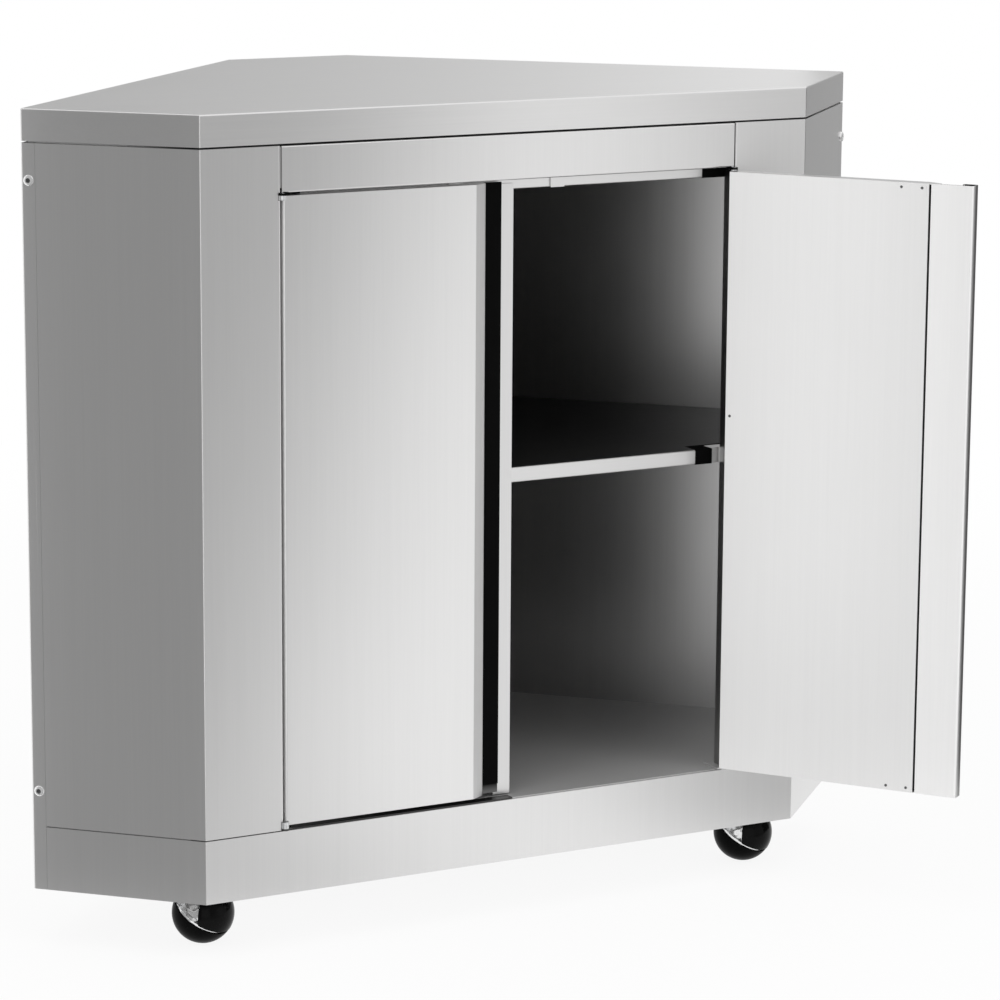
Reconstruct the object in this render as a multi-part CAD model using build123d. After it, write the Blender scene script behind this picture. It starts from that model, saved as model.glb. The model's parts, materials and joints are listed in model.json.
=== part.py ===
from build123d import *
import math
import os

# Outdoor kitchen corner cabinet in folded stainless sheet, standing on four hooded ball casters.
# Everything is drawn in millimetres with the front plane at y = 0 and the floor at z = 0, and is moved
# back by origin_depth when it is written, so that the origin lies on the floor under the middle.
origin_depth = 167.3

# Plan of the body: a diagonal front, two side panels turned back 45 degrees,
# and two rear walls at a right angle
front_width = 737.0
side_depth = 200.0
wall_length = 610.0

# Heights above the floor
skirt_bottom = 62.8
skirt_height = 70.0
body_height = 845.0
worktop_edge = 34.0
fascia_height = 49.5
shelf_top = 502.8

# Sheet metal
sheet = 1.2
door_sheet = 1.0
channel_sheet = 1.5
bend = 1.0
worktop_round = 2.0
top_flange = 18.0
skirt_flange = 25.0
hem = 15.0
wrap_flange = 16.0
lap_reach = 14.0
seam_gap = 0.15
groove_inset = 3.0
floor_clear = 0.3
floor_end = 20.0
gasket_height = 2.0
gasket_inset = 6.0
gasket_width = 10.0

# Front opening and doors
opening_half = 277.0
stile_return = 22.0
fascia_gap = 1.5
door_gap = 3.0
door_top_gap = 3.0
door_bottom_gap = 5.1
door_thick = 16.0
door_open_angle = 126.5
rail_setback = 3.0
rail_inset = 31.0
rail_drop = 12.5
rail_height = 52.0
rail_flange = 21.0

# Finger groove between the doors: both faces end in a bevel, and the right door's leading edge
# laps over a stop flange on the left door
pull_zone = 46.5
pull_bevel = 15.8
pull_depth = 8.0
pull_lip = 16.7
pull_strip = 47.9
pull_hem = 3.0
door_lap = 7.9
stop_clear = 0.9
stop_gap = 1.0
stop_reach = 7.6
stop_lap = 4.5
stop_drop = 3.5
stop_top_gap = 2.7
liner_foot = 10.0
pan_gap = 2.5
pan_hook = 9.0
liner_wall = 1.5
liner_skin = 1.0
liner_clear = 0.4

# Corner pivots: a pin at each top and bottom corner, in the gap beside the door
pivot_forward = 1.0
pin_radius = 2.5
running_clear = 0.05
eye_radius = 4.0
eye_clear = 0.4
arm_thick = 2.0
arm_width = 9.0
leaf_thick = 3.0
leaf_length = 28.0
neck_width = 3.0
thrust_gap = 0.3
block_depth = 24.0
block_height = 12.0
foot_depth = 10.0
bracket_gap = 1.0

# Catches, strikes and small fasteners
catch_place = 53.5
catch_width = 17.0
catch_height = 10.5
catch_clear = 0.4
strike_width = 33.0
strike_height = 11.0
strike_thick = 0.6
rivet_radius = 1.8
rivet_height = 0.9
rivet_edge = 5.0
rivet_spread = 23.5
hinge_rivet_share = 0.6
screw_edge = 9.0
screw_end = 39.0
screw_head_radius = 5.8
screw_head_height = 2.8
screw_socket = 2.7
screw_radius = 2.5
screw_length = 7.0
hole_clear = 0.2
join_hole_radius = 3.5
join_hole_edge = 40.0

# Shelf
shelf_setback = 22.0
shelf_inset = 32.0
shelf_notch_width = 55.0
shelf_notch_depth = 24.0
shelf_lip = 17.0
shelf_lip_return = 8.0
shelf_gap = 3.0
corner_block_width = 22.0
corner_tab_front = 6.0
corner_tab_gap = 3.0
bracket_leg = 22.0
bracket_drop = 20.0
bracket_start = 120.0
bracket_length = 400.0

# Worktop braces and base channels
brace_width = 40.0
brace_height = 22.0
front_brace_half = 440.0
front_brace_depth = 160.0
rear_brace_half = 205.0
rear_brace_depth = 400.0
channel_width = 70.0
channel_end = 36.0

# Casters
ball_radius = 33.9
caster_trail = 20.0
front_caster_x = 344.0
front_caster_y = 85.0
rear_caster_x = 85.0
rear_caster_gap = 102.8
caster_heading = -52.0
axle_rise = 57.0
hood_offset = 11.0
rim_gap = 1.5
tyre_wall = 6.0
hub_radius = 9.0
axle_radius = 4.0
axle_inner = 20.0
axle_outer = 14.0
disc_inset = 1.5
disc_below = 0.8
core_inset = 8.5
hood_wall = 3.0
hood_proud = 0.5
stem_radius = 6.0
boss_radius = 10.0
boss_top = 72.0
plate_size = 56.0
plate_thick = 4.0
plate_bolt = 21.0
plate_top = 84.0
stem_top_gap = 0.5

# Derived plan
slope = math.sqrt(0.5)
front_half = front_width / 2
wall_rear = side_depth * slope + wall_length * slope
side_out = front_half + side_depth * slope
back_half = side_out - wall_length * slope

# Derived heights
skirt_top = skirt_bottom + skirt_height
floor_top = skirt_top + sheet
worktop_top = skirt_bottom + body_height
worktop_bottom = worktop_top - worktop_edge
panel_top = worktop_bottom - gasket_height
fascia_bottom = panel_top - fascia_height
door_top = fascia_bottom - door_top_gap
door_bottom = floor_top + door_bottom_gap
rail_bottom = fascia_bottom - rail_drop
rail_face = door_thick + rail_setback

# Derived door lines, measured from the middle of the front towards the hinge
hinge_edge = opening_half - door_gap
lead_edge = -door_lap
face_end = pull_zone
bevel_end = face_end - pull_bevel
strip_end = lead_edge + pull_strip
stop_start = door_lap + stop_clear
pan_end = strip_end + pan_gap
pan_face = door_thick - door_sheet
catch_middle = catch_place + catch_width / 2
pivot_x = opening_half - door_gap / 2
pivot_y = -pivot_forward
rail_half = opening_half - rail_inset
rear_caster_y = wall_rear - rear_caster_gap
shelf_half = opening_half - shelf_inset


def side_point(along, depth=0.0):
    """Point on the right side panel, measured from its front corner and inwards from its face."""
    return (front_half + (along - depth) * slope, (along + depth) * slope)


def wall_point(along, depth=0.0):
    """Point on the right rear wall, measured from its front corner and inwards from its face."""
    x, y = side_point(side_depth)
    return (x - (along + depth) * slope, y + (along - depth) * slope)


def body_outline():
    """Corners of the body's plan, counterclockwise from the right front corner."""
    right = [(front_half, 0.0), side_point(side_depth), (back_half, wall_rear)]
    left = [(-x, y) for x, y in reversed(right)]
    return right + left


def shifted(path, distance, closed=False):
    """The path moved to its left by a distance, with its corners kept sharp."""
    count = len(path)
    moved = []
    for i, (x, y) in enumerate(path):
        steps = []
        if closed or i > 0:
            steps.append((path[i - 1], path[i]))
        if closed or i < count - 1:
            steps.append((path[i], path[(i + 1) % count]))
        normals = []
        for (x0, y0), (x1, y1) in steps:
            length = math.hypot(x1 - x0, y1 - y0)
            normals.append(((y0 - y1) / length, (x1 - x0) / length))
        nx = sum(n[0] for n in normals)
        ny = sum(n[1] for n in normals)
        scale = len(normals) * distance / (nx * nx + ny * ny)
        moved.append((x + nx * scale, y + ny * scale))
    return moved


def rounded(points, corners):
    """Flat outline with some of its corners rounded, given as pairs of corner and radius."""
    face = Polygon(*points, align=None)
    for (x, y), radius in corners:
        face = fillet(face.vertices().sort_by_distance((x, y, 0))[0], radius)
    return face


def raised(face, low, high):
    """Upright block over a flat outline, between two heights."""
    return Pos(0, 0, low) * extrude(face, amount=high - low, dir=(0, 0, 1))


def prism(points, low, high):
    """Upright block over plan points, between two heights."""
    return raised(Polygon(*points, align=None), low, high)


def sheet_outline(path, thick):
    """Section of a folded sheet whose outer side is a path, with bent corners."""
    inner = shifted(path, thick)
    corners = [(point, bend + abs(thick)) for point in path[1:-1]]
    corners += [(point, bend) for point in inner[1:-1]]
    return rounded(path + list(reversed(inner)), corners)


def bent(path, thick, low, high):
    """Upright sheet with bent corners that follows a path in plan, with its thickness on the path's left."""
    return raised(sheet_outline(path, thick), low, high)


def flange(path, width, low, high):
    """Level flange along a bent sheet, reaching in from its outer side."""
    corners = [(point, bend + sheet) for point in path[1:-1]]
    return raised(rounded(path + list(reversed(shifted(path, width))), corners), low, high)


def bent_across(path, thick, half_length):
    """Sheet folded along lines across the cabinet, from a path of depths and heights."""
    section = Plane.YZ * sheet_outline(path, thick)
    return Pos(-half_length, 0, 0) * extrude(section, amount=2 * half_length, dir=(1, 0, 0))


def folded(path, thick, low, high):
    """Upright plate that follows a path in plan, with its thickness on the path's left."""
    return prism(path + list(reversed(shifted(path, thick))), low, high)


def block(x0, x1, y0, y1, z0, z1):
    """Box between two corners."""
    return prism([(x0, y0), (x1, y0), (x1, y1), (x0, y1)], z0, z1)


def peg(x, y, radius, low, high):
    """Upright cylinder."""
    return Pos(x, y, (low + high) / 2) * Cylinder(radius, high - low)


def ring(outer_inset, inner_inset, low, high):
    """Band round the body's plan, between two distances inside its edge."""
    outline = body_outline()
    outer = prism(shifted(outline, outer_inset, closed=True), low, high)
    return outer - prism(shifted(outline, inner_inset, closed=True), low - 1, high + 1)


def mirrored(part):
    """The same piece on the left side."""
    return mirror(part, about=Plane.YZ)


def both_sides(part):
    """A right piece and its mirror image as one group."""
    return Compound([part, mirrored(part)])


def side_screw_places():
    """Plan point and heights of the screws that hold a rear wall's wrapped flange to the side panel."""
    along = side_depth - screw_edge
    return along, [floor_top + screw_end, panel_top - screw_end]


def lying_bar(x, y, z, heading, radius, length):
    """Level round bar centred on a point, along a heading in degrees from +x."""
    return Pos(x, y, z) * Rot(0, 0, heading) * Rot(0, 90, 0) * Cylinder(radius, length)


def side_bar(along, height, radius, start, length):
    """Round bar square to the right side panel, from a depth inside its face."""
    x, y = side_point(along, start + length / 2)
    return lying_bar(x, y, height, 135, radius, length)


def side_holes(part):
    """The part with clearance holes for the wrapped flange's screws."""
    along, heights = side_screw_places()
    for height in heights:
        part -= side_bar(along, height, screw_radius + hole_clear, -sheet, 6 * sheet)
    return part


def lap_tab(low, high):
    """Backing strip behind the wrapped flange, fixed to the inside of a side panel or of the skirt."""
    start = side_depth - wrap_flange - lap_reach
    stop = side_depth - 2 * sheet
    near = [side_point(start, sheet), side_point(stop, sheet)]
    far = [side_point(stop, 2 * sheet), side_point(start, 2 * sheet)]
    return prism(near + far, low, high)


def make_side_panel():
    """Right side panel, folded at the front corner into the stile beside the door."""
    end = side_point(side_depth - wrap_flange - seam_gap)
    face = [(opening_half, stile_return), (opening_half, 0.0), (front_half, 0.0), end]
    part = bent(face, sheet, floor_top, panel_top)
    flange_path = [(opening_half + bend + sheet, 0.0), (front_half, 0.0), end]
    part += flange(flange_path, top_flange, panel_top - sheet, panel_top)
    part += flange(flange_path, top_flange, floor_top, floor_top + sheet)
    part += lap_tab(floor_top + wrap_flange, panel_top - wrap_flange)
    part = side_holes(part)
    notch = eye_radius + eye_clear
    part -= peg(pivot_x, pivot_y, notch, floor_top - 1, door_bottom + sheet + leaf_thick + eye_clear)
    part -= peg(pivot_x, pivot_y, notch, door_top - sheet - leaf_thick - eye_clear, fascia_bottom + eye_clear)
    return part


def make_rear_wall():
    """Right rear wall, wrapped round the side panel's rear edge and turned in along the back."""
    wrap = side_point(side_depth - wrap_flange)
    back = (back_half - 20.0, wall_rear)
    path = [wrap, side_point(side_depth), (back_half, wall_rear), back]
    part = bent(path, sheet, skirt_bottom, panel_top)
    near = top_flange + seam_gap
    far = wall_length - top_flange
    part += folded([wall_point(near), wall_point(far)], top_flange, panel_top - sheet, panel_top)
    part += folded([wall_point(near), wall_point(far)], hem, skirt_bottom, skirt_bottom + sheet)
    part = side_holes(part)
    for along in (join_hole_edge, wall_length - join_hole_edge):
        for height in (floor_top + join_hole_edge, panel_top - join_hole_edge):
            x, y = wall_point(along, sheet / 2)
            part -= lying_bar(x, y, height, 45, join_hole_radius, 4 * sheet)
    return part


def make_back_panel():
    """Narrow panel across the rear corner, behind the two rear walls' turned edges."""
    half = back_half - 2 * sheet
    outer = wall_rear - sheet
    part = block(-half, half, outer - sheet, outer, skirt_bottom, panel_top)
    inner_half = half - 2 * top_flange
    part += block(-inner_half, inner_half, outer - top_flange, outer, panel_top - sheet, panel_top)
    return part


def make_base_skirt():
    """Plinth skirt folded round the front and both sides."""
    end = side_point(side_depth - wrap_flange - seam_gap)
    path = [(-end[0], end[1]), (-front_half, 0.0), (front_half, 0.0), end]
    part = bent(path, sheet, skirt_bottom, skirt_top)
    part += flange(path, skirt_flange, skirt_top - sheet, skirt_top)
    part += flange(path, hem, skirt_bottom, skirt_bottom + sheet)
    tab = lap_tab(skirt_bottom + 2 * sheet, skirt_top - 2 * sheet)
    return part + tab + mirrored(tab)


def make_floor_panel():
    """Cabinet floor on the skirt's top flange: a groove at the front seam, and close to the rear walls."""
    part = prism(shifted(body_outline(), groove_inset, closed=True), skirt_top, floor_top)
    depth = sheet + floor_clear
    path = [wall_point(floor_end, depth), wall_point(wall_length - floor_end, depth)]
    strip = folded(path, 2 * groove_inset, skirt_top, floor_top)
    return part + strip + mirrored(strip)


def make_worktop():
    """Worktop pan with downturned edges and an inturned flange below."""
    outline = body_outline()
    inner = shifted(outline, sheet, closed=True)
    part = raised(rounded(outline, [(point, bend + sheet) for point in outline]), worktop_bottom, worktop_top)
    part = fillet(part.edges().group_by(Axis.Z)[-1], worktop_round)
    hollow = rounded(inner, [(point, bend) for point in inner])
    part -= raised(hollow, worktop_bottom + sheet, worktop_top - sheet)
    part -= prism(shifted(outline, top_flange, closed=True), worktop_bottom - 1, worktop_bottom + 2 * sheet)
    return part


def make_gasket():
    """Rubber strip between the worktop's flange and the panels."""
    return ring(gasket_inset, gasket_inset + gasket_width, panel_top, worktop_bottom)


def trough(half_length, depth_middle, width, low, high):
    """Channel across the cabinet, open at the top."""
    front = depth_middle - width / 2
    rear = depth_middle + width / 2
    part = block(-half_length, half_length, front, rear, low, high)
    inner = block(-half_length - 1, half_length + 1, front + channel_sheet, rear - channel_sheet,
                  low + channel_sheet, high + 1)
    return part - inner


def make_worktop_brace(half_length, depth_middle):
    """Stiffening channel under the worktop's sheet."""
    under = worktop_top - sheet
    return trough(half_length, depth_middle, brace_width, under - brace_height, under)


def plate_bolt_places(x, y):
    """Bolt centres of a caster's top plate."""
    return [(x + i * plate_bolt, y + j * plate_bolt) for i in (-1, 1) for j in (-1, 1)]


def make_base_channel(caster_x, caster_y):
    """Channel under the floor that carries two casters."""
    part = trough(caster_x + channel_end, caster_y, channel_width, plate_top, skirt_top)
    for side in (-1, 1):
        for x, y in plate_bolt_places(side * caster_x, caster_y):
            part -= peg(x, y, screw_radius + hole_clear, plate_top - 1, plate_top + channel_sheet + 1)
    return part


def make_fascia():
    """Panel across the front above the doors."""
    path = [(top_flange, panel_top), (0.0, panel_top), (0.0, fascia_bottom), (rail_face, fascia_bottom)]
    return bent_across(path, sheet, opening_half - fascia_gap)


def make_top_rail():
    """Door-stop rail behind the fascia."""
    top = rail_bottom + rail_height
    rear = rail_face + rail_flange
    path = [(rear, top), (rail_face, top), (rail_face, rail_bottom), (rear, rail_bottom)]
    return bent_across(path, sheet, rail_half)


def make_shelf():
    """Middle shelf with a downturned front lip and corners cut away beside the stiles."""
    outline = shifted(body_outline(), shelf_gap, closed=True)
    part = prism(outline, shelf_top - sheet, shelf_top)
    plate_front = shelf_setback + bend + sheet
    part -= block(-side_out, side_out, -1.0, plate_front, shelf_top - sheet - 1, shelf_top + 1)
    notch = block(shelf_half, shelf_half + shelf_notch_width, 0.0, shelf_setback + shelf_notch_depth,
                  shelf_top - sheet - 1, shelf_top + 1)
    part -= notch
    part -= mirrored(notch)
    low = shelf_top - shelf_lip
    path = [(plate_front + sheet, shelf_top), (shelf_setback, shelf_top), (shelf_setback, low)]
    path.append((shelf_setback + shelf_lip_return, low))
    return part + bent_across(path, sheet, shelf_half)


def make_corner_block():
    """Plastic block in the shelf's right front corner."""
    rear = shelf_setback + shelf_notch_depth
    outer = shelf_half + corner_block_width
    return block(shelf_half, outer, shelf_setback, rear, shelf_top - shelf_lip, shelf_top)


def make_corner_tab():
    """Steel tab behind the right stile's turned edge that holds the shelf's corner block."""
    low = shelf_top - shelf_lip
    face = stile_return + corner_tab_gap
    start = shelf_half + corner_block_width
    outer = opening_half + sheet
    part = block(start, outer + sheet, face, face + sheet, low, shelf_top)
    return part + block(outer, outer + sheet, corner_tab_front, face, low, shelf_top)


def make_shelf_bracket():
    """Angle on the right rear wall that carries the shelf."""
    stop = bracket_start + bracket_length
    path = [wall_point(bracket_start, sheet), wall_point(stop, sheet)]
    under = shelf_top - sheet
    part = folded(path, channel_sheet, under - bracket_drop, under)
    return part + folded(path, bracket_leg, under - channel_sheet, under)


def make_pivot_bracket(width, depth, low, height, arm_low):
    """Right pivot bracket: a block behind the door's corner with an arm that reaches out to the pin."""
    inner = opening_half - bracket_gap
    part = block(inner - width, inner, rail_face, rail_face + depth, low, low + height)
    part += block(inner - arm_width, inner, pivot_y, rail_face, arm_low, arm_low + arm_thick)
    part += peg(pivot_x, pivot_y, eye_radius, arm_low, arm_low + arm_thick)
    return part - peg(pivot_x, pivot_y, pin_radius, arm_low - 1, arm_low + arm_thick + 1)


def make_pivot_pins():
    """The four pivot pins, fixed in the brackets' arms."""
    low = peg(pivot_x, pivot_y, pin_radius, floor_top, door_bottom + door_sheet + leaf_thick)
    high = peg(pivot_x, pivot_y, pin_radius, door_top - door_sheet - leaf_thick, fascia_bottom)
    return [low, high, mirrored(low), mirrored(high)]


def make_catch():
    """Magnetic catch on the rail, facing the right door's strike."""
    front = door_thick + strike_thick + catch_clear
    return block(catch_place, catch_place + catch_width, front, rail_face,
                 rail_bottom, rail_bottom + catch_height)


def door_cap(low):
    """Cap across the door's main box, from the hinge edge to the bevel of the finger pull."""
    points = [(hinge_edge, 0.0), (hinge_edge, pan_face), (bevel_end, pan_face)]
    points += [(bevel_end, pull_depth), (face_end, 0.0)]
    corners = [(point, bend + door_sheet) for point in (points[0], points[3], points[4])]
    return raised(rounded(points, corners), low, low + door_sheet)


def make_door_skin():
    """Outer skin of the right door, closed: face, hinge edge, caps and the bevel of the finger groove."""
    path = [(hinge_edge, pan_face), (hinge_edge, 0.0), (face_end, 0.0)]
    path += [(bevel_end, pull_depth), (bevel_end, pan_face)]
    part = bent(path, -door_sheet, door_bottom, door_top)
    part += door_cap(door_bottom)
    part += door_cap(door_top - door_sheet)
    notch = peg(pivot_x, pivot_y, eye_radius + eye_clear, 0.0, door_sheet + leaf_thick + eye_clear)
    slot_start = hinge_edge - door_sheet - eye_clear
    slot_depth = door_sheet + neck_width + eye_clear
    notch += block(slot_start, pivot_x, 0.0, slot_depth, 0.0, door_sheet + leaf_thick + eye_clear)
    part -= Pos(0, 0, door_bottom) * notch
    part -= Pos(0, 0, door_top - door_sheet - leaf_thick - eye_clear) * notch
    return part


def make_door_pan():
    """Inner pan of the right door, closed."""
    part = block(pan_end, hinge_edge, pan_face, door_thick, door_bottom, door_top)
    part += block(pan_end, pan_end + door_sheet, pan_face - pan_hook, pan_face,
                  door_bottom + 2 * door_sheet, door_top - 2 * door_sheet)
    return part


def make_pull_profile():
    """Leading edge of the right door, closed: back strip, edge and the lip that the fingers hook."""
    lip_end = lead_edge + pull_lip
    path = [(strip_end, door_thick), (lead_edge, door_thick), (lead_edge, 0.0)]
    path += [(lip_end, 0.0), (lip_end, pull_hem)]
    return bent(path, door_sheet, door_bottom, door_top)


def make_pull_liner():
    """Black liner inside the right door's leading edge."""
    near = lead_edge + door_sheet
    lip_end = lead_edge + pull_lip - door_sheet - bend
    back = pan_face - liner_wall
    points = [(near, door_sheet), (lip_end, door_sheet), (lip_end, door_sheet + liner_skin)]
    points += [(near + liner_skin, door_sheet + liner_skin), (near + liner_skin, back)]
    points += [(bevel_end - liner_clear, back), (bevel_end - liner_clear, pan_face), (near, pan_face)]
    return raised(rounded(points, [(points[0], bend), (points[-1], bend)]), door_bottom, door_top)


def make_stop_profile():
    """Leading edge of the left door, drawn on the right: back strip, and a stop flange set back behind it."""
    front = door_thick + stop_gap
    lap_end = stop_start + stop_lap
    high = door_top - stop_top_gap
    part = block(stop_start, strip_end, pan_face, door_thick, door_bottom, door_top)
    part += block(stop_start, lap_end, door_thick, front, door_bottom, high)
    return part + block(-stop_reach, lap_end, front, front + door_sheet, door_bottom - stop_drop, high)


def make_stop_liner():
    """Black liner on the left door's back strip, at the bottom of the finger groove."""
    low = door_bottom + liner_foot
    return block(stop_start, bevel_end - liner_clear, pan_face - liner_wall, pan_face, low, door_top)


def make_pivot_leaves():
    """Top and bottom pivot leaves of the right door, fixed inside its skin."""
    inner = hinge_edge - door_sheet
    arm_top = floor_top + arm_thick
    arm_under = fascia_bottom - arm_thick
    leaves = []
    lower = door_bottom + door_sheet
    upper = door_top - door_sheet - leaf_thick
    spans = [(lower, arm_top + thrust_gap, lower + leaf_thick), (upper, upper, arm_under - thrust_gap)]
    for low, eye_low, eye_high in spans:
        high = low + leaf_thick
        part = block(inner - leaf_length, inner - eye_clear, door_sheet, pan_face - door_sheet, low, high)
        part += block(inner - eye_radius, pivot_x, door_sheet, door_sheet + neck_width, low, high)
        part += peg(pivot_x, pivot_y, eye_radius, eye_low, eye_high)
        part -= peg(pivot_x, pivot_y, pin_radius + running_clear, eye_low - 1, eye_high + 1)
        leaves.append(part)
    return leaves


def rivet(x, face, height):
    """Rivet head on the door's inner face or on its strike."""
    dome = Sphere(rivet_radius)
    dome &= Pos(0, 0, rivet_radius) * Box(4 * rivet_radius, 4 * rivet_radius, 2 * rivet_height)
    dome = Pos(0, 0, rivet_height - rivet_radius) * dome
    return Pos(x, face, height) * Rot(-90, 0, 0) * dome


def strike_span():
    """Lower and upper edge of the strike plate on the door's inner face."""
    high = door_top - 2.5
    return high - strike_height, high


def make_strike():
    """Strike plate on the right door's inner face, opposite its catch."""
    low, high = strike_span()
    start = catch_middle - strike_width / 2
    return block(start, start + strike_width, door_thick, door_thick + strike_thick, low, high)


def make_rivets():
    """Rivet heads on the right door: two at the foot, two on the strike and one at the hinge edge."""
    low = door_bottom + rivet_edge
    high = door_top - rivet_edge
    rivets = [rivet(hinge_edge - rivet_edge, door_thick, low + hinge_rivet_share * (high - low))]
    for x in (catch_middle - rivet_spread / 2, catch_middle + rivet_spread / 2):
        rivets.append(rivet(x, door_thick, low))
        rivets.append(rivet(x, door_thick + strike_thick, high))
    return rivets


def make_wall_screws():
    """Screws through the wrapped flanges of both rear walls."""
    along, heights = side_screw_places()
    screws = []
    for height in heights:
        head = side_bar(along, height, screw_head_radius, -screw_head_height, screw_head_height)
        shank = side_bar(along, height, screw_radius, 0.0, screw_length)
        socket = side_bar(along, height, screw_socket, -screw_head_height - 1, 1 + 0.7 * screw_head_height)
        screw = head + shank - socket
        screws += [screw, mirrored(screw)]
    return screws


def caster_places():
    """Name, stem position and channel of each caster."""
    places = {}
    for row, x, y in (("front", front_caster_x, front_caster_y), ("rear", rear_caster_x, rear_caster_y)):
        places[f"{row}_left"] = (-x, y)
        places[f"{row}_right"] = (x, y)
    return places


def make_caster_plate(x, y):
    """Top plate of a caster, with the stem's bush hole and four bolt holes."""
    half = plate_size / 2
    part = block(x - half, x + half, y - half, y + half, plate_top - plate_thick, plate_top)
    part -= peg(x, y, stem_radius + running_clear, plate_top - plate_thick - 1, plate_top + 1)
    for bx, by in plate_bolt_places(x, y):
        part -= peg(bx, by, screw_radius + hole_clear, plate_top - plate_thick - 1, plate_top + 1)
    return part


def make_caster_screws():
    """Bolts that hold the caster plates to the base channels."""
    under = plate_top - plate_thick
    screws = []
    for x, y in caster_places().values():
        for bx, by in plate_bolt_places(x, y):
            head = peg(bx, by, screw_head_radius - 0.7, under - screw_head_height, under)
            screws.append(head + peg(bx, by, screw_radius, under, plate_top + 3 * channel_sheet))
    return screws


def rising(angle):
    """Direction along the caster's heading that rises from the level by an angle."""
    level = math.cos(math.radians(angle))
    heading = math.radians(caster_heading)
    return Vector(level * math.cos(heading), level * math.sin(heading), math.sin(math.radians(angle)))


def beyond(part, direction, distance):
    """What lies past a plane square to a direction, at a distance from the ball's centre."""
    cut = Plane(origin=direction * distance, z_dir=direction)
    return split(part, bisect_by=cut, keep=Keep.TOP)


def along_axle(part):
    """Turns a piece drawn along Z to lie along the tilted axle."""
    return Plane(origin=(0, 0, 0), z_dir=rising(axle_rise)).location * part


def make_caster_wheel():
    """Half-ball wheel on the tilted axle, drawn about the ball's centre."""
    shell = Sphere(ball_radius) - Sphere(ball_radius - tyre_wall)
    wheel = split(shell, bisect_by=Plane.XY.offset(-rim_gap), keep=Keep.BOTTOM)
    reach = ball_radius - tyre_wall / 2
    wheel += Pos(0, 0, -(reach + rim_gap) / 2) * Cylinder(hub_radius, reach - rim_gap)
    bore_depth = axle_inner + 2 * running_clear
    wheel -= Pos(0, 0, -bore_depth / 2) * Cylinder(axle_radius + running_clear, bore_depth)
    return along_axle(wheel)


def make_caster_axle():
    """Axle of the half-ball wheel."""
    length = axle_inner + axle_outer
    return along_axle(Pos(0, 0, (axle_outer - axle_inner) / 2) * Cylinder(axle_radius, length))


def make_caster_yoke():
    """Bright yoke: a disc behind the wheel, a core between wheel and hood, and the swivel stem."""
    disc = Cylinder(ball_radius - disc_inset, rim_gap + disc_below)
    disc = along_axle(Pos(0, 0, (rim_gap - disc_below) / 2) * disc)
    core = beyond(Sphere(ball_radius - core_inset), rising(axle_rise), 0.0)
    stem_top = plate_top - ball_radius - stem_top_gap
    stem = peg(0.0, caster_trail, stem_radius, 0.0, stem_top)
    boss = peg(0.0, caster_trail, boss_radius, ball_radius / 3, boss_top - ball_radius)
    yoke = disc + core + beyond(boss + stem, rising(axle_rise), 0.0)
    return yoke - make_caster_axle()


def make_caster_hood():
    """Black hood over the far half of the ball."""
    shell = Sphere(ball_radius + hood_proud) - Sphere(ball_radius + hood_proud - hood_wall)
    hood = beyond(beyond(shell, rising(0.0), hood_offset), rising(axle_rise), rim_gap)
    return hood - peg(0.0, caster_trail, boss_radius, 0.0, 2 * ball_radius)


def door_pieces(profile, liner):
    """Every piece of a door with its leading edge, drawn as the right door closed."""
    pieces = {"skin": make_door_skin(), "inner_pan": make_door_pan()}
    pieces["pull_profile"] = profile
    pieces["pull_liner"] = liner
    pieces["pivot_leaves"] = Compound(make_pivot_leaves())
    pieces["strike"] = make_strike()
    pieces["rivets"] = Compound(make_rivets())
    return pieces


def caster_pieces():
    """Every moving piece of a caster, drawn about the ball's centre."""
    pieces = {"yoke": make_caster_yoke(), "hood": make_caster_hood()}
    pieces["axle"] = make_caster_axle()
    pieces["wheel"] = make_caster_wheel()
    return pieces


def cabinet_pieces():
    """Every fixed piece of the cabinet."""
    pieces = {"worktop": make_worktop(), "worktop_gasket": make_gasket()}
    pieces["worktop_brace_front"] = make_worktop_brace(front_brace_half, front_brace_depth)
    pieces["worktop_brace_rear"] = make_worktop_brace(rear_brace_half, rear_brace_depth)
    sided = {"side_panel": make_side_panel(), "rear_wall": make_rear_wall()}
    sided["shelf_bracket"] = make_shelf_bracket()
    arm_low = fascia_bottom - arm_thick
    block_width = rail_inset - bracket_gap
    upper = make_pivot_bracket(block_width, block_depth, rail_bottom, block_height, arm_low)
    sided["upper_pivot_bracket"] = upper
    sided["lower_pivot_bracket"] = make_pivot_bracket(arm_width, foot_depth, floor_top, arm_thick, floor_top)
    for name, part in sided.items():
        pieces[f"right_{name}"] = part
        pieces[f"left_{name}"] = mirrored(part)
    pieces["back_panel"] = make_back_panel()
    pieces["base_skirt"] = make_base_skirt()
    pieces["floor_panel"] = make_floor_panel()
    pieces["front_base_channel"] = make_base_channel(front_caster_x, front_caster_y)
    pieces["rear_base_channel"] = make_base_channel(rear_caster_x, rear_caster_y)
    pieces["fascia"] = make_fascia()
    pieces["top_rail"] = make_top_rail()
    pieces["shelf"] = make_shelf()
    pieces["shelf_corner_blocks"] = both_sides(make_corner_block())
    pieces["shelf_corner_tabs"] = both_sides(make_corner_tab())
    pieces["door_catches"] = both_sides(make_catch())
    pieces["pivot_pins"] = Compound(make_pivot_pins())
    pieces["wall_screws"] = Compound(make_wall_screws())
    pieces["caster_screws"] = Compound(make_caster_screws())
    pieces["caster_plates"] = Compound([make_caster_plate(x, y) for x, y in caster_places().values()])
    return pieces


def swung(part, angle):
    """The part turned about the right door's pivot pins."""
    return Pos(pivot_x, pivot_y, 0) * Rot(0, 0, angle) * Pos(-pivot_x, -pivot_y, 0) * part


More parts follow.
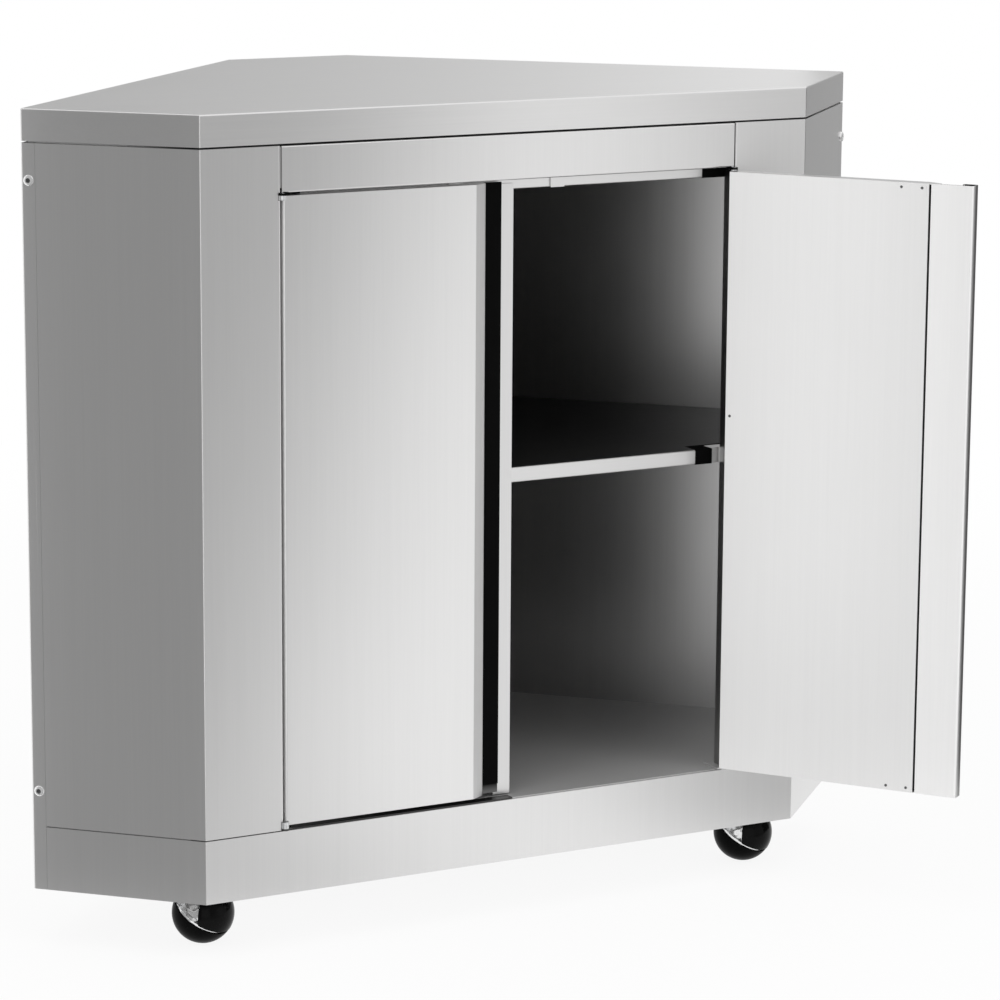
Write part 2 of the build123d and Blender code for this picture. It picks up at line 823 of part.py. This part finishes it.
def all_pieces():
    """Every piece by name, at rest: left door closed and right door open."""
    pieces = cabinet_pieces()
    for name, part in door_pieces(make_stop_profile(), make_stop_liner()).items():
        pieces[f"left_door_{name}"] = mirrored(part)
    for name, part in door_pieces(make_pull_profile(), make_pull_liner()).items():
        pieces[f"right_door_{name}"] = swung(part, door_open_angle)
    for name, part in caster_pieces().items():
        for place, (x, y) in caster_places().items():
            pieces[f"caster_{place}_{name}"] = Pos(x, y - caster_trail, ball_radius) * part
    return pieces


os.makedirs("parts", exist_ok=True)
for node, piece in all_pieces().items():
    export_step(Pos(0, -origin_depth, 0) * piece, f"parts/{node}.step")
    print(node, "written")
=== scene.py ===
import json
import math
import bpy
import bmesh
from mathutils import Matrix, Vector


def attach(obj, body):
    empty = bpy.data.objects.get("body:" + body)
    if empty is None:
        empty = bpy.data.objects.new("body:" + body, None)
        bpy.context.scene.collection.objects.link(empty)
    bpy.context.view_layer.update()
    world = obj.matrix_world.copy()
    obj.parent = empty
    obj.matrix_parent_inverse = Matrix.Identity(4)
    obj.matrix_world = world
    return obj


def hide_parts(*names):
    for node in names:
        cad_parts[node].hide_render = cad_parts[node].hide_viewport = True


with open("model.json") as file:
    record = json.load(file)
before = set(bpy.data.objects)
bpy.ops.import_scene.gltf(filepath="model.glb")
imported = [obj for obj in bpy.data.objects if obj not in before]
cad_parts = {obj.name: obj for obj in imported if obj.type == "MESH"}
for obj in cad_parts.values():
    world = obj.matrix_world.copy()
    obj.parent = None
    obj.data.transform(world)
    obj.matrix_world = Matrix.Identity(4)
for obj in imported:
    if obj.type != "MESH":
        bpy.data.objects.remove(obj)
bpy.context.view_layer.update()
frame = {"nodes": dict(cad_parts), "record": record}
nodes = frame["nodes"]
scene = bpy.context.scene
scene.view_settings.view_transform = "Standard"
mm = 0.001
slant = math.sqrt(0.5)  # sides and rear walls stand at 45 degrees to the front
openTurn = math.radians(126.5)  # right door, as the photo shows it
seenRays = ("Is Camera Ray", "Is Glossy Ray", "Is Transmission Ray")
print("frame loaded:", len(nodes), "nodes")

# shader maths


class Val:  # a socket that takes part in sums
    def __init__(self, finish, socket):
        self.finish = finish
        self.socket = socket

    def sum(self, operation, a, b):
        return self.finish.node("ShaderNodeMath", {"operation": operation}, {0: a, 1: b})

    def __add__(self, other):
        return self.sum("ADD", self, other)

    def __radd__(self, other):
        return self.sum("ADD", other, self)

    def __sub__(self, other):
        return self.sum("SUBTRACT", self, other)

    def __rsub__(self, other):
        return self.sum("SUBTRACT", other, self)

    def __mul__(self, other):
        return self.sum("MULTIPLY", self, other)

    def above(self, limit):
        return self.sum("GREATER_THAN", self, limit)

    def below(self, limit):
        return self.sum("LESS_THAN", self, limit)

    def between(self, limits):
        return self.above(limits[0]) * self.below(limits[1])

    def least(self, other):
        return self.sum("MINIMUM", self, other)


class Finish:  # one material, built node by node
    def __init__(self, name):
        self.material = bpy.data.materials.new(name)
        self.material.use_nodes = True
        self.tree = self.material.node_tree
        self.shader = self.tree.nodes["Principled BSDF"]
        self.place = self.node("ShaderNodeTexCoord", out="Object")

    def node(self, kind, settings=None, sockets=None, out=0):
        made = self.tree.nodes.new(kind)
        for key, value in (settings or {}).items():
            setattr(made, key, value)
        self.fill(made, sockets or {})
        return Val(self, made.outputs[out])

    def fill(self, made, sockets):
        for key, value in sockets.items():
            if isinstance(value, Val):
                self.tree.links.new(value.socket, made.inputs[key])
            else:
                made.inputs[key].default_value = value

    def axes(self):
        made = self.tree.nodes.new("ShaderNodeSeparateXYZ")
        self.fill(made, {0: self.place})
        return [Val(self, out) for out in made.outputs]

    def reach(self, way):  # distance in a direction
        return self.node("ShaderNodeVectorMath", {"operation": "DOT_PRODUCT"}, {0: self.place, 1: way}, 1)

    def stretched(self, scale):
        return self.node("ShaderNodeMapping", None, {"Vector": self.place, "Scale": scale})

    def noise(self, vector, scale, detail, roughness=0.5, distortion=0.0):
        sockets = {"Vector": vector, "Scale": scale, "Detail": detail}
        sockets.update({"Roughness": roughness, "Distortion": distortion})
        return self.node("ShaderNodeTexNoise", None, sockets)

    def fade(self, value, ends, start=0.0, kind="SMOOTHSTEP"):  # rises to 1 between two ends
        sockets = {"Value": value, "From Min": ends[0], "From Max": ends[1], "To Min": start}
        return self.node("ShaderNodeMapRange", {"interpolation_type": kind}, sockets)

    def blend(self, amount, low, high):  # colour between two tones
        return self.node("ShaderNodeMix", {"data_type": "RGBA"}, {0: amount, 6: low, 7: high}, 2)

    def bump(self, height, strength, distance):
        sockets = {"Strength": strength, "Distance": distance, "Height": height}
        return self.node("ShaderNodeBump", None, sockets)

    def glow(self, level):
        return self.node("ShaderNodeEmission", None, {"Color": grey(level), "Strength": 1.0})

    def surface(self, **sockets):
        self.fill(self.shader, {key.replace("_", " "): value for key, value in sockets.items()})
        return self.material

    def mixed(self, amount, first, second):  # two shaders, to the material's output
        both = self.node("ShaderNodeMixShader", None, {0: amount, 1: first, 2: second})
        self.tree.links.new(both.socket, self.tree.nodes["Material Output"].inputs["Surface"])
        return self.material


def grey(level, warm=0.0):
    return (level * (1 + warm), level, level * (1 - warm), 1)


# places with painted shade or light, in metres

shell = {  # plan of the body
    "front": 0.1673,  # plane of the doors, in front of the origin
    "side": 0.26057,  # outer faces, from the middle of that plane
    "wall": 0.46057,
    "rear": 0.57276,
    "skin": 0.0008,  # deeper than this is inside
    "shelfLip": 0.0238,  # behind the front, like the floor's edge
    "floorEdge": 0.015,
    "covered": 0.004,  # the closed left door reaches to here
}


def insideShellShade(f):  # painted shade: steel behind the outer faces, toned darker inside the body
    x, y = f.axes()[:2]
    out = f.node("ShaderNodeMath", {"operation": "ABSOLUTE"}, {0: x})
    behind = y + shell["front"]
    side = shell["side"] - (out - behind) * slant
    wall = shell["wall"] - (out + behind) * slant
    ends = behind.least(shell["rear"] - behind)
    return side.least(wall).least(ends).above(shell["skin"])


def shelfTopShade(f):  # painted shade: the shelf's top behind its lip, near black and matte
    return f.axes()[1].above(shell["shelfLip"] - shell["front"])


def shadeUnderLeftDoor(f):  # painted shade: front edge of the floor, dark under the closed door
    x, y = f.axes()[:2]
    return y.below(shell["floorEdge"] - shell["front"]) * x.below(shell["covered"])


leftDoor = {
    "hingeEdge": -0.2736,
    "folds": (-0.0465, 0.01),
    "slot": (-0.0307, -0.0088),
    "slotBack": -0.1515,
    "foot": (0.1365, 0.1491),  # from the door's lower edge to the black liner
    "footShade": 0.75,
}


def hingeEdge(f):  # painted light: hinge side, pale and matte so its gap reads lit
    return f.axes()[0].below(leftDoor["hingeEdge"])


def pullFoldShade(f):  # painted shade: bevel and lip beside the slot, darker than the door
    return f.axes()[0].between(leftDoor["folds"])


def pullFootShade(f):  # painted shade: near black at the foot of the slot below the liner, a little less dark at the door's lower edge
    x, y, z = f.axes()
    low = z.below(leftDoor["foot"][1]) * y.below(leftDoor["slotBack"])
    shade = f.fade(z, leftDoor["foot"], leftDoor["footShade"], "LINEAR")
    return x.between(leftDoor["slot"]) * low * shade


rightDoor = {
    "lead": (-math.cos(openTurn), -math.sin(openTurn), 0),  # from the hinge to the leading edge
    "deep": (math.sin(openTurn), -math.cos(openTurn), 0),  # from the inner face to the skin
    "strip": 0.5347,
    "seam": (0.53, 0.5375),
    "seamDepth": 0.105,
    "end": 0.5816,
    "endFade": (0.105, 0.115),
}


def leadStripLight(f):  # painted highlight: back strip of the open door, paler and less metallic
    return f.reach(rightDoor["lead"]).above(rightDoor["strip"])


def seamShade(f):  # painted shade: near black on the turned edges in the seam between that strip and the inner pan
    deep = f.reach(rightDoor["deep"]).above(rightDoor["seamDepth"])
    return f.reach(rightDoor["lead"]).between(rightDoor["seam"]) * deep


def leadEndShade(f):  # painted shade on the narrow end, darker away from the inner face
    shade = f.fade(f.reach(rightDoor["deep"]), rightDoor["endFade"])
    return f.reach(rightDoor["lead"]).above(rightDoor["end"]) * shade


# finishes

noiseMean = 0.5
steelLook = {
    "up": (420, 420, 5),  # grain runs up the panels
    "across": (5, 420, 420),  # grain runs along the worktop
    "coarse": 0.22,  # broad bands against the fine grain
    "fineShare": 0.65,
    "handScale": 4.5,  # smudges
    "grainRough": 0.07,
    "handRough": 0.07,
    "bump": 0.035,
    "bumpDepth": 0.0004,
    "spread": (0.95, 1.045),  # darkest and palest grain of a tone
    "patchSpread": (0.93, 1.06),
    "warm": 0.004,
}


def spreadTone(f, amount, tone, spread, warm=0.0):
    low, high = (grey(min(tone * share, 1.0), warm) for share in spread)
    return f.blend(amount, low, high)


def brushedSteel(name, tone, grain, rough, metal=1.0, gloss=0.5, patches=()):
    f = Finish(name)
    look = steelLook
    fine = f.noise(f.stretched(grain), 1.0, detail=5.0, roughness=0.65)
    bands = f.noise(f.stretched([s * look["coarse"] for s in grain]), 1.0, detail=3.0)
    hand = f.noise(f.place, look["handScale"], detail=4.0, roughness=0.6)
    mix = fine * look["fineShare"] + bands * (1 - look["fineShare"])
    roughness = rough + (mix - noiseMean) * look["grainRough"] + (hand - noiseMean) * look["handRough"]
    colour = spreadTone(f, mix, tone, look["spread"], look["warm"])
    # each patch is painted shade or light: its mask blends in a tone and metal
    for mask, patchTone, patchMetal in patches:
        covered = mask(f)
        patch = spreadTone(f, mix, patchTone, look["patchSpread"], look["warm"])
        colour = f.blend(covered, colour, patch)
        metal = metal + covered * (patchMetal - metal)
    bump = f.bump(mix, look["bump"], look["bumpDepth"])
    f.surface(Base_Color=colour, Metallic=metal, Roughness=roughness)
    return f.surface(Specular_IOR_Level=gloss, Normal=bump)


plating = {"spangle": 160.0, "spread": (0.86, 1.08), "warm": -0.01, "rough": 0.3, "spangleRough": 0.18}


def platedSteel(name, tone):
    f = Finish(name)
    spangle = f.node("ShaderNodeTexVoronoi", None, {"Vector": f.place, "Scale": plating["spangle"]}, "Color")
    shade = f.node("ShaderNodeSeparateColor", None, {0: spangle})
    colour = spreadTone(f, shade, tone, plating["spread"], plating["warm"])
    roughness = plating["rough"] + shade * plating["spangleRough"]
    return f.surface(Base_Color=colour, Metallic=1.0, Roughness=roughness)


polish = {
    "haze": 90.0,
    "spread": (0.95, 1.04),
    "metal": 0.75,
    "rough": 0.06,
    "hazeRough": 0.08,
    "waves": 75.0,  # uneven polish
    "waveBend": 0.6,
    "waveBump": 0.6,
    "waveDepth": 0.004,
}


def brightSteel(name, tone):
    f = Finish(name)
    haze = f.noise(f.place, polish["haze"], detail=4.0)
    colour = spreadTone(f, haze, tone, polish["spread"])
    waves = f.noise(f.place, polish["waves"], detail=1.0, distortion=polish["waveBend"])
    bump = f.bump(waves, polish["waveBump"], polish["waveDepth"])
    roughness = polish["rough"] + haze * polish["hazeRough"]
    return f.surface(Base_Color=colour, Metallic=polish["metal"], Roughness=roughness, Normal=bump)


moulding = {"tone": 0.003, "spread": (0.8, 1.5), "dust": 26.0, "dustRough": 0.18, "bumpDepth": 0.0005}


def blackPlastic(name, rough, grain, bump, shine):
    f = Finish(name)
    dust = f.noise(f.place, moulding["dust"], detail=5.0, roughness=0.7)
    colour = spreadTone(f, dust, moulding["tone"], moulding["spread"])
    roughness = rough + (dust - noiseMean) * moulding["dustRough"]
    grains = f.noise(f.place, grain, detail=3.0, roughness=0.6)
    normal = f.bump(grains, bump, moulding["bumpDepth"])
    return f.surface(Base_Color=colour, Roughness=roughness, Specular_IOR_Level=shine, Normal=normal)


gasket = {"dark": 0.006, "pale": 0.85, "fade": (-0.157, -0.08), "rough": 0.75, "shine": 0.1}


def gasketShadeAndLight(name):  # black rubber along the front, where it also stands in for the shade of the gap under the worktop, grading to painted light towards the rear of the sides
    f = Finish(name)
    colour = f.blend(f.fade(f.axes()[1], gasket["fade"]), grey(gasket["dark"]), grey(gasket["pale"]))
    return f.surface(Base_Color=colour, Roughness=gasket["rough"], Specular_IOR_Level=gasket["shine"])


up = steelLook["up"]
across = steelLook["across"]
finishes = {  # steel: tone, grain, roughness, and patches of painted shade or light with their tone and metal
    "stainless": brushedSteel("stainlessShell", 0.79, up, 0.3, patches=[(insideShellShade, 0.57, 1.0)]),
    "worktop_steel": brushedSteel("stainlessWorktop", 0.785, across, 0.34),
    "door_steel": brushedSteel("stainlessDoor", 0.82, up, 0.3, patches=[
        (hingeEdge, 0.94, 0.1), (pullFoldShade, 0.72, 1.0), (pullFootShade, 0.01, 1.0)]),
    "door_lining": brushedSteel("doorLining", 0.88, up, 0.34, metal=0.8, patches=[
        (leadStripLight, 0.96, 0.66), (seamShade, 0.03, 1.0), (leadEndShade, 0.5, 1.0)]),
    "inner_steel": brushedSteel("stainlessRail", 0.76, across, 0.32),
    "shelf_steel": brushedSteel("shelfSheet", 0.76, across, 0.36, gloss=0.2, patches=[
        (shelfTopShade, 0.014, 0.0)]),
    "floor_steel": brushedSteel("floorSheet", 0.58, across, 0.4, metal=0.35, patches=[
        (shadeUnderLeftDoor, 0.1, 1.0)]),
    "zinc_steel": platedSteel("zincPlate", 0.8),
    "rivet_steel": platedSteel("rivetHeads", 0.16),
    "bright_steel": brightSteel("polishedSteel", 0.94),
    "black_plastic": blackPlastic("blackMoulding", rough=0.7, grain=900.0, bump=0.15, shine=0.02),
    "hood_plastic": blackPlastic("hoodGloss", rough=0.14, grain=240.0, bump=0.05, shine=0.08),
    "tread": blackPlastic("rollerTread", rough=0.3, grain=700.0, bump=0.1, shine=0.03),
    "gasket_rubber": gasketShadeAndLight("gasketRubberShadeAndLight"),
}
slotOf = {part["node"]: part["material_slot"] for part in frame["record"]["subparts"]}
for name, piece in nodes.items():
    piece.data.materials.clear()
    piece.data.materials.append(finishes[slotOf[name]])
print("finishes set:", len(finishes))

# screws and rivets, one node tree for every head

heads = {  # millimetres
    "wallScrew": {"radius": 5.8, "rim": 1.3, "crown": 1.5, "recess": 2.6, "depth": 1.6, "sides": 40},
    "wallSocketShade": {"radius": 2.5, "rim": 1.0, "crown": 0.2, "recess": 1.2, "depth": 0.3, "sides": 6,
                   "sink": 0.6},
    "casterScrew": {"radius": 5.1, "rim": 2.5, "crown": 0.3, "recess": 1.2, "depth": 0.3, "sides": 6},
    "doorRivet": {"radius": 1.55, "rim": 0.25, "crown": 0.65, "recess": 0.5, "depth": 0.4, "sides": 24},
    "crownSteps": ((0.45, 0.93), (0.35, 0.86), (0.2, 0.8)),  # share of the crown's height, shrink
    "recessShrink": 0.9,
    "weld": 0.001,
    "sameCorner": 0.002,
}


def headTree():
    tree = bpy.data.node_groups.new("fastenerHeads", "GeometryNodeTree")
    face = tree.interface
    face.new_socket("Points", in_out="INPUT", socket_type="NodeSocketGeometry")
    for label in ("Radius", "Rim", "Crown", "Recess", "Depth"):
        face.new_socket(label, in_out="INPUT", socket_type="NodeSocketFloat")
    face.new_socket("Sides", in_out="INPUT", socket_type="NodeSocketInt")
    face.new_socket("Finish", in_out="INPUT", socket_type="NodeSocketMaterial")
    face.new_socket("Heads", in_out="OUTPUT", socket_type="NodeSocketGeometry")
    given = tree.nodes.new("NodeGroupInput").outputs

    def add(kind, settings=None, sockets=None):
        made = tree.nodes.new(kind)
        for key, value in (settings or {}).items():
            setattr(made, key, value)
        for key, value in (sockets or {}).items():
            if isinstance(value, bpy.types.NodeSocket):
                tree.links.new(value, made.inputs[key])
            else:
                made.inputs[key].default_value = value
        return made.outputs

    def maths(operation, first, second):
        return add("ShaderNodeMath", {"operation": operation}, {0: first, 1: second})[0]

    def lift(mesh, top, amount, scale):  # raise the top face, then shrink it
        raised = add("GeometryNodeExtrudeMesh", {"mode": "FACES"},
                     {"Mesh": mesh, "Selection": top, "Offset Scale": amount, "Individual": False})
        shrunk = add("GeometryNodeScaleElements", None,
                     {"Geometry": raised[0], "Selection": raised[1], "Scale": scale})
        return shrunk[0], raised[1]

    disc = add("GeometryNodeMeshCircle", {"fill_type": "NGON"},
               {"Vertices": given["Sides"], "Radius": given["Radius"]})[0]
    base = add("GeometryNodeFlipFaces", None, {"Mesh": disc})[0]
    every = add("FunctionNodeInputBool", {"boolean": True})[0]
    mesh, top = lift(disc, every, given["Rim"], 1.0)
    for share, shrink in heads["crownSteps"]:
        mesh, top = lift(mesh, top, maths("MULTIPLY", given["Crown"], share), shrink)
    crownShrink = math.prod(shrink for _, shrink in heads["crownSteps"])
    crownRadius = maths("MULTIPLY", given["Radius"], crownShrink)
    mesh, top = lift(mesh, top, 0.0, maths("DIVIDE", given["Recess"], crownRadius))
    mesh, top = lift(mesh, top, maths("MULTIPLY", given["Depth"], -1.0), heads["recessShrink"])
    closed = add("GeometryNodeJoinGeometry")[0]
    tree.links.new(mesh, closed.node.inputs[0])
    tree.links.new(base, closed.node.inputs[0])
    head = add("GeometryNodeMergeByDistance", None, {"Geometry": closed, "Distance": heads["weld"] * mm})[0]
    axis = add("GeometryNodeInputNamedAttribute", {"data_type": "FLOAT_VECTOR"}, {"Name": "axis"})[0]
    turn = add("FunctionNodeAlignRotationToVector", {"axis": "Z"}, {"Vector": axis})[0]
    placed = add("GeometryNodeInstanceOnPoints", None,
                 {"Points": given["Points"], "Instance": head, "Rotation": turn})[0]
    real = add("GeometryNodeRealizeInstances", None, {"Geometry": placed})[0]
    done = add("GeometryNodeSetMaterial", None, {"Geometry": real, "Material": given["Finish"]})[0]
    out = tree.nodes.new("NodeGroupOutput")
    tree.links.new(done, out.inputs[0])
    return tree


def islands(node):  # corners of each separate solid in a node
    bm = bmesh.new()
    bm.from_mesh(nodes[node].data)
    bmesh.ops.remove_doubles(bm, verts=bm.verts, dist=heads["sameCorner"] * mm)
    left = set(bm.verts)
    groups = []
    while left:
        grow = [left.pop()]
        group = []
        while grow:
            vert = grow.pop()
            group.append(vert.co.copy())
            for edge in vert.link_edges:
                other = edge.other_vert(vert)
                if other in left:
                    left.remove(other)
                    grow.append(other)
        groups.append(group)
    bm.free()
    return groups


def headSpots(node, sizes, axisOf):  # foot and axis of each head
    height = (sizes["rim"] + sizes["crown"] + sizes.get("sink", 0)) * mm
    spots = []
    for group in islands(node):
        axis = axisOf(sum(group, Vector()) / len(group))
        foot = max(p.dot(axis) for p in group) - height
        flat = [p - axis * p.dot(axis) for p in group]
        centre = Vector([(min(p[i] for p in flat) + max(p[i] for p in flat)) / 2 for i in range(3)])
        spots.append((centre + axis * foot, axis))
    return spots


fastenerHeads = headTree()


def makeHeads(node, look, axisOf, body, socket=None):  # socket: slot of dark insets that join the heads, painted shade in their recesses
    sizes = heads[look]
    spots = headSpots(node, sizes, axisOf)
    mesh = bpy.data.meshes.new(node + "Spots")
    mesh.from_pydata([tuple(p) for p, _ in spots], [], [])
    axes = mesh.attributes.new("axis", "FLOAT_VECTOR", "POINT")
    axes.data.foreach_set("vector", [c for _, axis in spots for c in axis])
    holder = bpy.data.objects.new(node + "Spots", mesh)
    scene.collection.objects.link(holder)
    modifier = holder.modifiers.new("heads", "NODES")
    modifier.node_group = fastenerHeads
    slot = socket or slotOf[node]
    values = {key.capitalize(): value * mm for key, value in sizes.items()}
    values["Sides"] = sizes["sides"]
    values["Finish"] = finishes[slot]
    for item in fastenerHeads.interface.items_tree:
        if item.name in values:
            modifier[item.identifier] = values[item.name]
    deps = bpy.context.evaluated_depsgraph_get()
    made = bpy.data.meshes.new_from_object(holder.evaluated_get(deps))
    bpy.data.objects.remove(holder)
    piece = bpy.data.objects.new(node + ("SocketShade" if socket else "Heads"), made)
    scene.collection.objects.link(piece)
    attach(piece, body)
    if not socket:
        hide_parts(node)
    print("heads:", piece.name, len(spots))


def outOfSide(middle):
    return Vector((math.copysign(slant, middle.x), -slant, 0))


def downwards(middle):
    return Vector((0, 0, -1))


def behindLeftDoor(middle):
    return Vector((0, 1, 0))


def behindRightDoor(middle):
    return -Vector(rightDoor["deep"])


makeHeads("wall_screws", "wallScrew", outOfSide, "cabinet")
# dark insets in the wall screws' recesses: painted shade
makeHeads("wall_screws", "wallSocketShade", outOfSide, "cabinet", "rivet_steel")
makeHeads("caster_screws", "casterScrew", downwards, "cabinet")
makeHeads("left_door_rivets", "doorRivet", behindLeftDoor, "left_door")
makeHeads("right_door_rivets", "doorRivet", behindRightDoor, "right_door")

# camera, solved from the photo's edges

view = {
    "place": (-1.9918, -3.8457, 1.3198),
    "yaw": 28.247,
    "pitch": 11.464,
    "roll": 0.368,
    "lens": 140.76,
    "sensor": 36,
    "farthest": 60,
}


def makeCamera():
    yaw, pitch, roll = (math.radians(view[key]) for key in ("yaw", "pitch", "roll"))
    ahead = Vector((math.sin(yaw) * math.cos(pitch), math.cos(yaw) * math.cos(pitch), -math.sin(pitch)))
    right = Vector((math.cos(yaw), -math.sin(yaw), 0))
    upward = right.cross(ahead)
    turnedRight = right * math.cos(roll) + upward * math.sin(roll)
    turnedUp = upward * math.cos(roll) - right * math.sin(roll)
    data = bpy.data.cameras.new("photoCamera")
    data.sensor_width = view["sensor"]
    data.lens = view["lens"]
    data.clip_end = view["farthest"]
    camera = bpy.data.objects.new("photoCamera", data)
    turn = Matrix((turnedRight, turnedUp, -ahead)).transposed().to_4x4()
    camera.matrix_world = Matrix.Translation(view["place"]) @ turn
    scene.collection.objects.link(camera)
    scene.camera = camera


makeCamera()
print("camera placed")

# studio


def stagePiece(name, corners, material):
    mesh = bpy.data.meshes.new(name)
    mesh.from_pydata([tuple(c) for c in corners], [], [(0, 1, 2, 3)])
    mesh.materials.append(material)
    piece = bpy.data.objects.new(name, mesh)
    scene.collection.objects.link(piece)
    return piece


def cardCorners(centre, faces, width, height):  # lies flat where it faces nothing
    side, rise = Vector((1, 0, 0)), Vector((0, 1, 0))
    if faces:
        away = (Vector(faces) - Vector(centre)).normalized()
        side = away.cross(Vector((0, 0, 1))).normalized()
        rise = side.cross(away)
    signs = ((-1, -1), (1, -1), (1, 1), (-1, 1))
    return [Vector(centre) + side * width / 2 * s + rise * height / 2 * r for s, r in signs]


floorLook = {
    "size": 14.0,
    "tone": 0.9,
    "rough": 0.9,
    "white": 0.9,  # share of plain white where the floor is seen
    "fade": (1.1, 2.8),  # all white beyond
}


def makeFloor():
    f = Finish("paleFloor")
    away = f.node("ShaderNodeVectorMath", {"operation": "LENGTH"}, {0: f.place}, 1)
    fade = f.fade(away, floorLook["fade"], floorLook["white"])
    camera, glossy, through = (f.node("ShaderNodeLightPath", out=kind) for kind in seenRays)
    seen = f.node("ShaderNodeClamp", None, {0: camera + glossy + through})
    f.surface(Base_Color=grey(floorLook["tone"]), Roughness=floorLook["rough"], Specular_IOR_Level=0.0)
    material = f.mixed(fade * seen, Val(f, f.shader.outputs[0]), f.glow(1.0))
    stagePiece("floor", cardCorners((0, 0, 0), None, floorLook["size"], floorLook["size"]), material)


flags = {  # cards that only the steel's reflections show; greys from and to, between two ends along a way
    "leftFlag": {
        "centre": (-0.531, -0.146, 0.5), "faces": (-0.44, -0.055, 0.5), "size": (0.3, 1.3),
        "greys": (0.31, 0.31)},
    "frontLeftFlag": {
        "centre": (-0.025, -0.69, 0.5), "faces": (-0.025, 0, 0.5), "size": (0.65, 1.2), "greys": (0.42, 1.0),
        "ends": (-0.3, 0.12), "way": (1, 0, -0.28)},
    "frontRightFlag": {
        "centre": (0.85, -0.69, 0.5), "faces": (0.85, 0, 0.5), "size": (1.1, 1.2), "greys": (1.0, 0.67),
        "ends": (0.36, 0.64)},
    "doorEndFlag": {
        "centre": (0.95, -0.3, 0.5), "faces": (0.44, -0.39, 0.5), "size": (0.5, 1.2), "greys": (0.1, 0.1)},
    "rearFlag": {
        "centre": (0.6, 1.7, 1.6), "faces": (0.1, 0.2, 0.9), "size": (4.4, 1.9), "greys": (0.48, 1.0),
        "ends": (0.3, 1.9)},
    "floorLeftFlag": {
        "centre": (-0.2, -0.5, 0.003), "faces": None, "size": (0.8, 0.4), "greys": (0.66, 1.0),
        "ends": (-0.25, 0.15)},
    "floorRightFlag": {
        "centre": (0.6, -0.5, 0.003), "faces": None, "size": (0.8, 0.4), "greys": (1.0, 0.5),
        "ends": (0.22, 0.52)},
    "rightFlag": {
        "centre": (1.0, 0.2, 0.55), "faces": (0.44, -0.08, 0.6), "size": (0.8, 1.2), "greys": (0.42, 0.42)},
}


def makeFlags():
    for name, flag in flags.items():
        f = Finish(name)
        first, last = (f.glow(level) for level in flag["greys"])
        fade = f.fade(f.reach(flag.get("way", (1, 0, 0))), flag.get("ends", (0, 1)))
        corners = cardCorners(flag["centre"], flag["faces"], *flag["size"])
        card = stagePiece(name, corners, f.mixed(fade, first, last))
        card.visible_camera = False
        card.visible_shadow = False
        card.visible_diffuse = False
        card.visible_transmission = False


lamps = {
    "overhead": {"place": (-0.3, -0.6, 3.4), "aim": (0, 0, 0.4), "size": 3.0, "watts": 28},
    "frontRight": {"place": (2.6, -3.0, 2.4), "aim": (0.1, 0, 0.4), "size": 3.2, "watts": 30},
    "left": {"place": (-3.4, -1.2, 2.2), "aim": (-0.3, 0, 0.4), "size": 2.2, "watts": 14},
}


def makeLamps():
    for name, look in lamps.items():
        data = bpy.data.lights.new(name, "AREA")
        data.size = look["size"]
        data.energy = look["watts"]
        lamp = bpy.data.objects.new(name, data)
        lamp.location = look["place"]
        ahead = Vector(look["aim"]) - Vector(look["place"])
        lamp.rotation_euler = ahead.to_track_quat("-Z", "Y").to_euler()
        lamp.visible_glossy = False  # the steel mirrors only the sky and the cards
        scene.collection.objects.link(lamp)


sky = {"level": 0.72}  # light on the cabinet; plain white where it is seen


def makeSky():
    world = bpy.data.worlds.new("studioSky")
    scene.world = world
    world.use_nodes = True
    tree = world.node_tree
    path = tree.nodes.new("ShaderNodeLightPath")
    shown = path.outputs[seenRays[0]]
    for kind in seenRays[1:]:
        either = tree.nodes.new("ShaderNodeMath")
        either.operation = "MAXIMUM"
        tree.links.new(shown, either.inputs[0])
        tree.links.new(path.outputs[kind], either.inputs[1])
        shown = either.outputs[0]
    level = tree.nodes.new("ShaderNodeMapRange")
    level.inputs["To Min"].default_value = sky["level"]
    tree.links.new(shown, level.inputs["Value"])
    background = tree.nodes["Background"]
    background.inputs["Color"].default_value = grey(1.0)
    tree.links.new(level.outputs[0], background.inputs["Strength"])


makeFloor()
makeFlags()
makeLamps()
makeSky()
print("studio ready:", len(lamps), "lamps,", len(flags), "cards")
